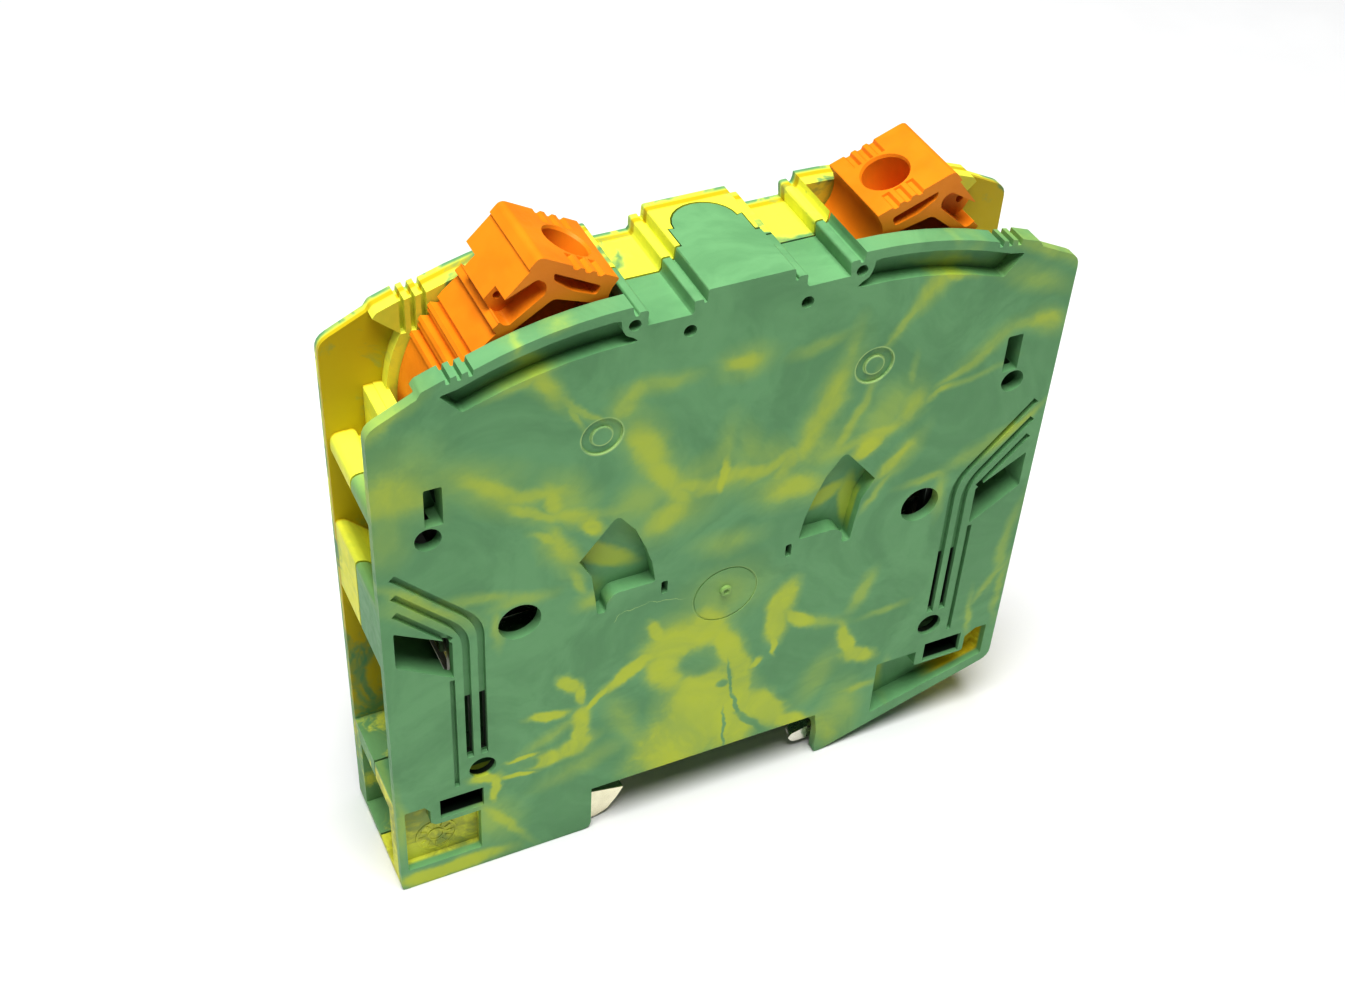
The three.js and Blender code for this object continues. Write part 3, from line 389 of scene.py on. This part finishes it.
def front_marbling():
    """Green with pools of yellow: faint pools first, then the mild and the strong ones over them."""
    m = Marbling("marbled_front")
    g = m.g
    ragged = g.math("MULTIPLY", g.math("SUBTRACT", m.cloud, 0.5), 0.7)
    smoke = g.step(m.wash, 0.32, 0.62, 0.72, 1.0)

    def spread(rows, rim, heart, amount):
        away = g.math("ADD", pools(g, m.moved, rows), ragged)
        return g.math("MULTIPLY", g.step(away, rim, heart, 0.0, amount), smoke)

    amount = spread(FAINT_POOLS, 1.9, 0.2, 0.58)
    for rows, rim, heart, most in ((MILD_POOLS, 2.2, 0.4, 0.64), (STRONG_POOLS, 1.7, 0.6, 1.0)):
        over = spread(rows, rim, heart, most)
        amount = g.math("MULTIPLY_ADD", g.math("SUBTRACT", 1.0, over), amount, over)
    green_again = g.step(pools(g, m.moved, GREEN_POOLS), 0.5, 1.6, 0.15, 1.0)
    amount = g.math("MULTIPLY", amount, green_again)
    yellow = g.mix(g.step(amount, 0.3, 0.85), OLIVE, YELLOW)
    color = g.mix(amount, m.green, yellow)

    # The floors of the two foot pockets and of the fans have yellow of their own.
    sunk = g.step(m.y, *POCKET_FLOOR)
    low = g.step(m.z, *POCKET_TOP)
    left_foot = g.math("MULTIPLY", g.step(m.x, *LEFT_POCKET), low)
    left_foot = g.math("MULTIPLY", left_foot, g.step(m.cloud, 0.36, 0.60, 0.35, 0.8))
    right_foot = g.math("MULTIPLY", g.step(m.x, *RIGHT_POCKET), low)
    fans = g.step(pools(g, m.moved, FAN_POOLS), 1.5, 0.6, 0.0, 0.75)
    color = g.mix(g.math("MULTIPLY", sunk, fans), color, YELLOW)
    tinted = g.math("MULTIPLY", sunk, g.math("MAXIMUM", left_foot, right_foot))
    gold = g.mix(g.step(m.cloud, 0.4, 0.62), DEEP_YELLOW, BRIGHT_YELLOW)
    color = g.mix(tinted, color, gold)

    # The edges of the rings round the pivots and of the gate's disc get a paler painted highlight.
    across = g.math("ABSOLUTE", m.x)
    outer, inner = (circle(g, across, m.z, PIVOT, *ring) for ring in PIVOT_RINGS)
    ring_highlight = g.math("MAXIMUM", outer, inner)
    disc = circle(g, m.x, m.z, GATE, GATE_RADIUS, half=0.0001)
    ring_highlight = g.math("MAXIMUM", ring_highlight, g.math("MULTIPLY", disc, 0.7))
    ring_highlight = g.math("MULTIPLY", ring_highlight, g.step(m.cloud, 0.34, 0.6, 0.3, 0.85))
    color = g.mix(ring_highlight, color, PALE_GREEN)
    scratch = g.step(pools(g, m.moved, SCRATCH), 1.3, 0.7, 0.0, 0.6)
    scratch = g.math("MULTIPLY", scratch, g.step(m.y, *FRONT_SKIN))
    color = g.mix(scratch, color, PALE_GREEN)
    return m.finish(paint_hollow_shade(m, color))


def back_marbling():
    """Yellow with streaks of green, whose places are made up."""
    m = Marbling("marbled_back")
    g = m.g
    streak = g.step(m.wash, 0.46, 0.33)
    patch = g.step(m.cloud, 0.58, 0.74, 0.0, 0.4)
    green = g.math("MAXIMUM", streak, patch)
    # The outside of the back face is mostly green, as the front's is.
    outside = g.math("MULTIPLY", g.step(m.y, *BACK_SKIN), g.step(m.wash, 0.60, 0.50))
    green = g.math("MAXIMUM", green, outside)
    gold = g.mix(g.step(m.cloud, 0.36, 0.64), CLEAR_YELLOW, BRIGHT_YELLOW)
    # The left foot's hollow is green.
    foot = g.math("MULTIPLY", g.step(m.z, *FOOT_HOLLOW_TOP), g.step(m.x, *FOOT_HOLLOW_SIDE))
    foot = g.math("MULTIPLY", foot, g.step(m.cloud, 0.66, 0.5, 0.3, 0.95))
    green = g.math("MAXIMUM", green, foot)
    # The inner side of the back plate is painted a deeper yellow, as painted shade.
    inner = within(g, m.y, *BACK_PLATE_SHADE, soft=0.0002)
    gold = g.mix(inner, gold, DEEP_YELLOW)
    color = g.mix(green, gold, m.green)
    return m.finish(paint_hollow_shade(m, color))


def paint_hollow_shade(m, color):
    """Paints shade into the hidden inside of the block: a deep green, darker than the skin, as
    painted shade.
    """
    g = m.g
    inside = within(g, m.y, *CAVITY, soft=0.0001)
    inside = g.math("MULTIPLY", inside, g.step(m.z, *CAVITY_TOP))
    across = g.math("ABSOLUTE", m.x)
    ends = g.step(across, *CAVITY_END)
    color = g.mix(g.math("MULTIPLY", inside, ends), color, INSIDE_SHADE_GREEN)

    # The long slots, the lower slot and one small hole are painted nearly black behind the face, as
    # painted shade.
    near, far = (within(g, across, x, x + LONG_SLOT_WIDTH, soft=0.00005) for x in LONG_SLOTS)
    slots = g.math("MAXIMUM", near, far)
    slots = g.math("MULTIPLY", slots, within(g, m.z, *LONG_SLOT_RANGE, soft=0.0001))
    lower = within(g, across, *LOWER_SLOT_X, soft=0.0001)
    lower = g.math("MULTIPLY", lower, within(g, m.z, *LOWER_SLOT_Z, soft=0.0001))
    hole = circle(g, across, m.z, SMALL_HOLE, 0, SMALL_HOLE_RADIUS)
    hole_shade = g.math("MAXIMUM", g.math("MAXIMUM", slots, lower), hole)
    hole_shade = g.math("MULTIPLY", hole_shade, within(g, m.y, *BLACK_DEPTH, soft=0.00015))
    return g.mix(hole_shade, color, SHADE_BLACK)


front_plastic = front_marbling()
back_plastic = back_marbling()


# ---- orange plastic ----
DARK_ORANGE = (0.74, 0.240, 0.010, 1)
LIGHT_ORANGE = (0.82, 0.290, 0.014, 1)


def orange():
    g = Graph("orange_plastic")
    place = g.place()
    tone = g.noise(place, 140, detail=3)
    color = g.mix(g.step(tone, 0.3, 0.7), DARK_ORANGE, LIGHT_ORANGE)
    g.link(color, g.shader.inputs["Base Color"])
    rough = g.step(g.noise(place, 1200), 0.3, 0.7, 0.40, 0.48)
    g.link(rough, g.shader.inputs["Roughness"])
    g.shader.inputs["Specular IOR Level"].default_value = 0.3
    moulded_grain(g, place, strength=0.3)
    return g.material


# ---- metals ----
def metal(name, dark, light, roughness, stretch, strength):
    """Metal with drawn lines: stretch gives how many lines run in a metre along X, Y and Z."""
    g = Graph(name)
    place = g.place()
    lines = g.node("ShaderNodeMapping")
    g.link(place, lines.inputs["Vector"])
    lines.inputs["Scale"].default_value = stretch
    drawn = g.noise(lines.outputs["Vector"], 1, detail=3, rough=0.6)
    cloud = g.noise(place, 300, detail=3, rough=0.6)
    color = g.mix(g.step(cloud, 0.3, 0.7), dark, light)
    g.link(color, g.shader.inputs["Base Color"])
    g.shader.inputs["Metallic"].default_value = 1.0
    low, high = roughness
    g.link(g.step(drawn, 0.25, 0.75, low, high), g.shader.inputs["Roughness"])
    g.bump(drawn, strength, distance=0.00002)
    return g.material


lever_plastic = orange()
tin = metal(
    "tinned_copper", (0.70, 0.67, 0.58, 1), (0.86, 0.84, 0.76, 1),
    roughness=(0.16, 0.30), stretch=(700, 9000, 700), strength=0.2,
)
nickel = metal(
    "plated_steel", (0.78, 0.73, 0.56, 1), (0.92, 0.87, 0.68, 1),
    roughness=(0.12, 0.26), stretch=(900, 6000, 900), strength=0.25,
)
cage_steel = metal(
    "cage_steel", (0.30, 0.30, 0.30, 1), (0.46, 0.46, 0.45, 1),
    roughness=(0.34, 0.5), stretch=(3000, 300, 3000), strength=0.3,
)
pin_steel = metal(
    "pin_steel", (0.45, 0.45, 0.45, 1), (0.6, 0.6, 0.6, 1),
    roughness=(0.2, 0.32), stretch=(9000, 300, 9000), strength=0.2,
)
rivet_steel = metal(
    "rivet_steel", (0.5, 0.49, 0.46, 1), (0.66, 0.65, 0.6, 1),
    roughness=(0.22, 0.36), stretch=(2500, 2500, 500), strength=0.2,
)
spring_steel = metal(
    "spring_steel", (0.3, 0.3, 0.29, 1), (0.5, 0.5, 0.48, 1),
    roughness=(0.24, 0.4), stretch=(4000, 600, 4000), strength=0.25,
)

LOOKS = {
    "front_shell": front_plastic,
    "back_shell": back_plastic,
    "current_bar": tin,
    "contact_foot": tin,
    "rail_latch": nickel,
    "latch_spring": spring_steel,
}
for side in ("left", "right"):
    LOOKS[side + "_rivet"] = rivet_steel
    LOOKS[side + "_pivot_pin"] = pin_steel
    LOOKS[side + "_crank_pin"] = pin_steel
    LOOKS[side + "_lever"] = lever_plastic
    LOOKS[side + "_clamp_cage"] = cage_steel
    LOOKS[side + "_clamp_spring"] = spring_steel
    LOOKS[side + "_pressure_shoe"] = tin

# The rounding of the edges, in mm.
PLASTIC_EDGE = 0.22
METAL_EDGE = 0.12
PLASTIC_NODES = ("front_shell", "back_shell", "left_lever", "right_lever")
WELD_DISTANCE = 0.000002
FLAT_ANGLE = math.radians(1)
SHARP_ANGLE = math.radians(38)

for name, look in LOOKS.items():
    o = nodes[name]
    o.data.materials.clear()
    o.data.materials.append(look)
    weld = o.modifiers.new("weld", "WELD")
    weld.merge_threshold = WELD_DISTANCE
    flat = o.modifiers.new("flat", "DECIMATE")
    flat.decimate_type = "DISSOLVE"
    flat.angle_limit = FLAT_ANGLE
    bevel = o.modifiers.new("bevel", "BEVEL")
    bevel.width = (PLASTIC_EDGE if name in PLASTIC_NODES else METAL_EDGE) * MM
    bevel.segments = 2
    bevel.limit_method = "ANGLE"
    bevel.angle_limit = SHARP_ANGLE
    for p in o.data.polygons:
        p.use_smooth = True
    o.modifiers.new("even", "WEIGHTED_NORMAL")


# ---- the latch spring, copied into a piece of the housing ----
coil = nodes["latch_spring"].copy()
coil.data = coil.data.copy()
coil.name = "latch_coil"
scene.collection.objects.link(coil)
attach(coil, "housing")
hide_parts("latch_spring")
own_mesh(coil)


# ---- small moulding marks on the front shell ----
def piece(name, made, look):
    """Turns a bmesh into a piece of the housing."""
    mesh = bpy.data.meshes.new(name)
    bmesh.ops.recalc_face_normals(made, faces=made.faces)
    made.to_mesh(mesh)
    made.free()
    mesh.materials.append(look)
    o = bpy.data.objects.new(name, mesh)
    scene.collection.objects.link(o)
    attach(o, "housing")


def turned(made, x, z, profile, sides):
    """Faces turned about a line along Y. The profile is (radius, y) in mm, and closes the solid:
    it runs from the axis back to the axis, or its last point is its first."""
    rings = []
    for radius, y in profile:
        if radius == 0:
            rings.append([made.verts.new((x * MM, y * MM, z * MM))])
            continue
        angles = [2 * math.pi * i / sides for i in range(sides)]
        spots = [(x + radius * math.cos(a), y, z + radius * math.sin(a)) for a in angles]
        rings.append([made.verts.new([number * MM for number in spot]) for spot in spots])
    for one, two in zip(rings, rings[1:]):
        for i in range(sides):
            j = (i + 1) % sides
            loop = [one[i % len(one)], one[j % len(one)], two[j % len(two)], two[i % len(two)]]
            made.faces.new(list(dict.fromkeys(loop)))


# The stub that the gate left, broken off with a dimple in its end.
STUB_PLACE = (0, 40.9)
STUB = [
    (0, -8.9), (1.05, -8.9), (1.05, -9.35), (0.86, -9.42), (0.8, -9.72), (0.66, -9.84),
    (0.42, -9.8), (0.26, -9.55), (0, -9.5),
]
stub = bmesh.new()
turned(stub, *STUB_PLACE, STUB, sides=20)
piece("gate_stub", stub, front_plastic)

# The clock of plain ticks, which stands on the floor of the left foot's pocket, in mm.
CLOCK = (-41.1, 7.6)
CLOCK_FOOT = -7.45
CLOCK_TOP = -7.72
CLOCK_RINGS = ((2.75, 2.95), (1.0, 1.2))
TICKS = 12
TICK_RADIUS = 2.0
TICK_SIZE = (0.26, 0.27, 0.9)
clock = bmesh.new()
for inner, outer in CLOCK_RINGS:
    band = [(inner, CLOCK_FOOT), (inner, CLOCK_TOP), (outer, CLOCK_TOP), (outer, CLOCK_FOOT)]
    turned(clock, *CLOCK, band + band[:1], sides=32)
clock_middle = Matrix.Translation((CLOCK[0] * MM, (CLOCK_FOOT + CLOCK_TOP) / 2 * MM, CLOCK[1] * MM))
tick_block = Matrix.Diagonal([side * MM for side in TICK_SIZE] + [1])
for tick in range(TICKS):
    spin = Matrix.Rotation(2 * math.pi * tick / TICKS, 4, "Y")
    outwards = Matrix.Translation((0, 0, TICK_RADIUS * MM))
    bmesh.ops.create_cube(clock, size=1, matrix=clock_middle @ spin @ outwards @ tick_block)
bmesh.ops.remove_doubles(clock, verts=clock.verts, dist=1e-7)
piece("pocket_clock", clock, front_plastic)


# ---- floor ----
FLOOR_HALF = 3
FLOOR_DROP = 0.0001
DARK_PAPER = (0.78, 0.78, 0.78, 1)
LIGHT_PAPER = (0.80, 0.80, 0.80, 1)
floor_mesh = bpy.data.meshes.new("floor")
made = bmesh.new()
bmesh.ops.create_grid(made, x_segments=1, y_segments=1, size=FLOOR_HALF)
made.to_mesh(floor_mesh)
made.free()
floor = bpy.data.objects.new("floor", floor_mesh)
floor.location = (0, 0, -FLOOR_DROP)
scene.collection.objects.link(floor)
g = Graph("floor")
paper = g.step(g.noise(g.place(), 30, detail=3), 0.3, 0.7)
g.link(g.mix(paper, DARK_PAPER, LIGHT_PAPER), g.shader.inputs["Base Color"])
g.shader.inputs["Roughness"].default_value = 0.7
floor_mesh.materials.append(g.material)
